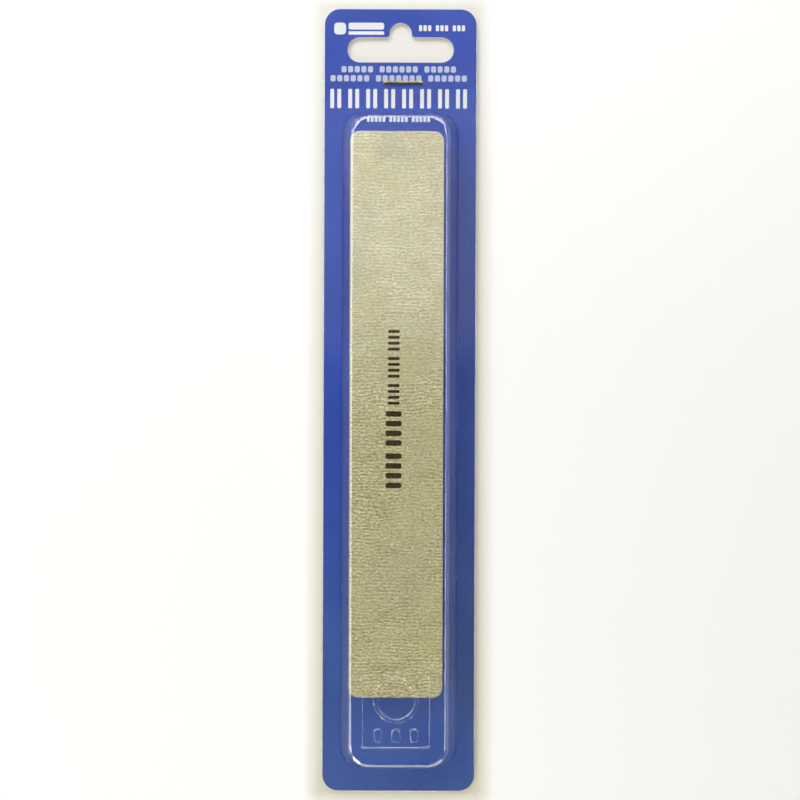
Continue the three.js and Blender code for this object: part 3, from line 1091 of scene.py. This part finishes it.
def build_pack():
    dress(clear_cover(), [clear_film()], "pack", "blister_shell")
    dress(staple_wire(), [brass_wire()], "pack", "staple")
    repaint("backing_card", printed_card())
    white, lilac = card_print()
    dress(white, [card_ink("white_ink", colour(252, 252, 253))], "pack")
    dress(lilac, [card_ink("lilac_ink", colour(204, 209, 236))], "pack")


def build_stick():
    papers = [abrasive_paper(), paper_edge()]
    front = abrasive_sheet("front_abrasive", "front_abrasive_sheet", 1, FRONT_SEED)
    back = abrasive_sheet("back_abrasive", "back_abrasive_sheet", -1, BACK_SEED)
    dress(front, papers, "stick", "front_abrasive_sheet")
    dress(back, papers, "stick", "back_abrasive_sheet")
    foam = soft_foam()
    for seed, side in enumerate(("front", "back")):
        layer = foam_layer(side + "_foam", side + "_foam_layer", 10.0 * seed)
        dress(layer, [foam], "stick", side + "_foam_layer")
    glue = adhesive_film()
    for side in ("front", "back"):
        repaint(side + "_face_adhesive", glue)
        repaint(side + "_core_adhesive", glue)
    repaint("stiffener_strip", white_plastic())
    dress(stick_stamp(), [stamp_ink()], "stick")


# ---------------------------------------------------------------- stage, light, camera

VIEW_DISTANCE = 266 * MM
VIEW_FIELD = 256 * MM
VIEW_SHIFT = 0.18 * MM
VIEW_ROLL = math.radians(0.2)
SENSOR = 36
FLOOR_HALF = 1.5
FLOOR_GLOW = 0.12

# Brightness around, and the heights between which it falls from the horizon's to the zenith's
HORIZON = 0.5
ZENITH = 0.12
DIMMING = (0.3, 0.95)
WORLD_TINT = (1.0, 0.99, 0.97, 1)

# Mirrored patch: where it fades in and out toward +Y, its least height, and its brightness
PATCH_LOW = (0.035, 0.105)
PATCH_HIGH = (0.39, 0.32)
PATCH_UP = 0.85
PATCH_GLOW = 1.6

WARM = (1.0, 0.93, 0.75)


def add_floor():
    half = FLOOR_HALF
    corners = [(-half, -half), (half, -half), (half, half), (-half, half)]
    floor = add_mesh("floor", [(x, y, cover_low.z) for x, y in corners], [(0, 1, 2, 3)])
    floor.data.materials.append(pale_floor())


def add_light(name, place, size, glow, tint=(1, 1, 1), mirrored_only=False):
    """A flat square light aimed at the pack's middle. glow is its surface brightness.

    A light that is only mirrored shows in the film's edges and adds no light elsewhere.
    """
    data = bpy.data.lights.new(name, "AREA")
    data.shape = "RECTANGLE"
    data.size = size[0]
    data.size_y = size[1]
    data.energy = glow * math.pi * size[0] * size[1]
    data.color = tint
    light = bpy.data.objects.new(name, data)
    light.location = place
    aim = Vector((CARD_X, CARD_Y, 0)) - light.location
    light.rotation_euler = aim.to_track_quat("-Z", "Y").to_euler()
    light.visible_diffuse = not mirrored_only
    bpy.context.scene.collection.objects.link(light)


def add_lights():
    add_light("key", Vector((-0.45, 0.45, 0.45)), (0.4, 0.35), 5.0)
    add_light("top", Vector((0.0, 0.46, 0.3)), (0.5, 0.2), 3.2)
    add_light("low", Vector((0.0, -0.46, 0.3)), (0.4, 0.15), 3.2, WARM)
    add_light("glint", Vector((-0.4, -0.4, 0.35)), (0.14, 0.14), 14.0)
    add_light("right", Vector((0.5, 0.1, 0.45)), (0.37, 0.37), 1.0)
    add_light("left_edge", Vector((-0.56, 0.0, 0.23)), (1.0, 0.42), 6.5, mirrored_only=True)
    add_light("top_edge", Vector((0.0, 0.46, 0.2)), (0.72, 0.36), 7.0, mirrored_only=True)
    add_light("low_edge", Vector((0.0, -0.68, 0.18)), (0.8, 0.27), 6.0, WARM, mirrored_only=True)
    add_light("right_edge", Vector((0.29, 0.0, 0.56)), (0.9, 0.12), 14.0, mirrored_only=True)
    add_light("right_rail", Vector((0.58, 0.0, 0.12)), (1.0, 0.24), 1.2, mirrored_only=True)
    add_light("spark", Vector((-0.28, -0.59, 0.27)), (0.16, 0.16), 45.0, mirrored_only=True)


def add_world():
    """Light from all around, and a soft patch overhead that only the film mirrors."""
    shader = Shader("studio", world=True)
    generated = shader.add("ShaderNodeTexCoord").outputs["Generated"]
    way = shader.add("ShaderNodeSeparateXYZ", {0: generated})
    along = way.outputs["Y"]
    up = way.outputs["Z"]
    around = shader.remap(up, DIMMING[0], DIMMING[1], HORIZON, ZENITH)
    patch = shader.remap(along, *PATCH_LOW, ease="SMOOTHSTEP")
    patch = shader.math("MULTIPLY", patch, shader.remap(along, *PATCH_HIGH, ease="SMOOTHSTEP"))
    patch = shader.math("MULTIPLY", patch, shader.math("GREATER_THAN", up, PATCH_UP))
    mirrored = shader.add("ShaderNodeLightPath").outputs["Is Glossy Ray"]
    patch = shader.math("MULTIPLY", patch, mirrored)
    glow = shader.math("ADD", around, shader.math("MULTIPLY", patch, PATCH_GLOW))
    background = shader.add("ShaderNodeBackground", {"Color": WORLD_TINT, "Strength": glow})
    bpy.context.scene.world = shader.finish(background.outputs[0])


def add_camera():
    data = bpy.data.cameras.new("camera")
    data.sensor_width = SENSOR
    data.lens = SENSOR * VIEW_DISTANCE / VIEW_FIELD
    data.clip_start = 0.01
    camera = bpy.data.objects.new("camera", data)
    camera.location = (CARD_X + VIEW_SHIFT, CARD_Y, CARD_FACE + VIEW_DISTANCE)
    camera.rotation_euler.z = VIEW_ROLL
    bpy.context.scene.collection.objects.link(camera)
    bpy.context.scene.camera = camera


build_pack()
build_stick()
add_floor()
add_lights()
add_world()
add_camera()
bpy.context.scene.view_settings.view_transform = "Standard"
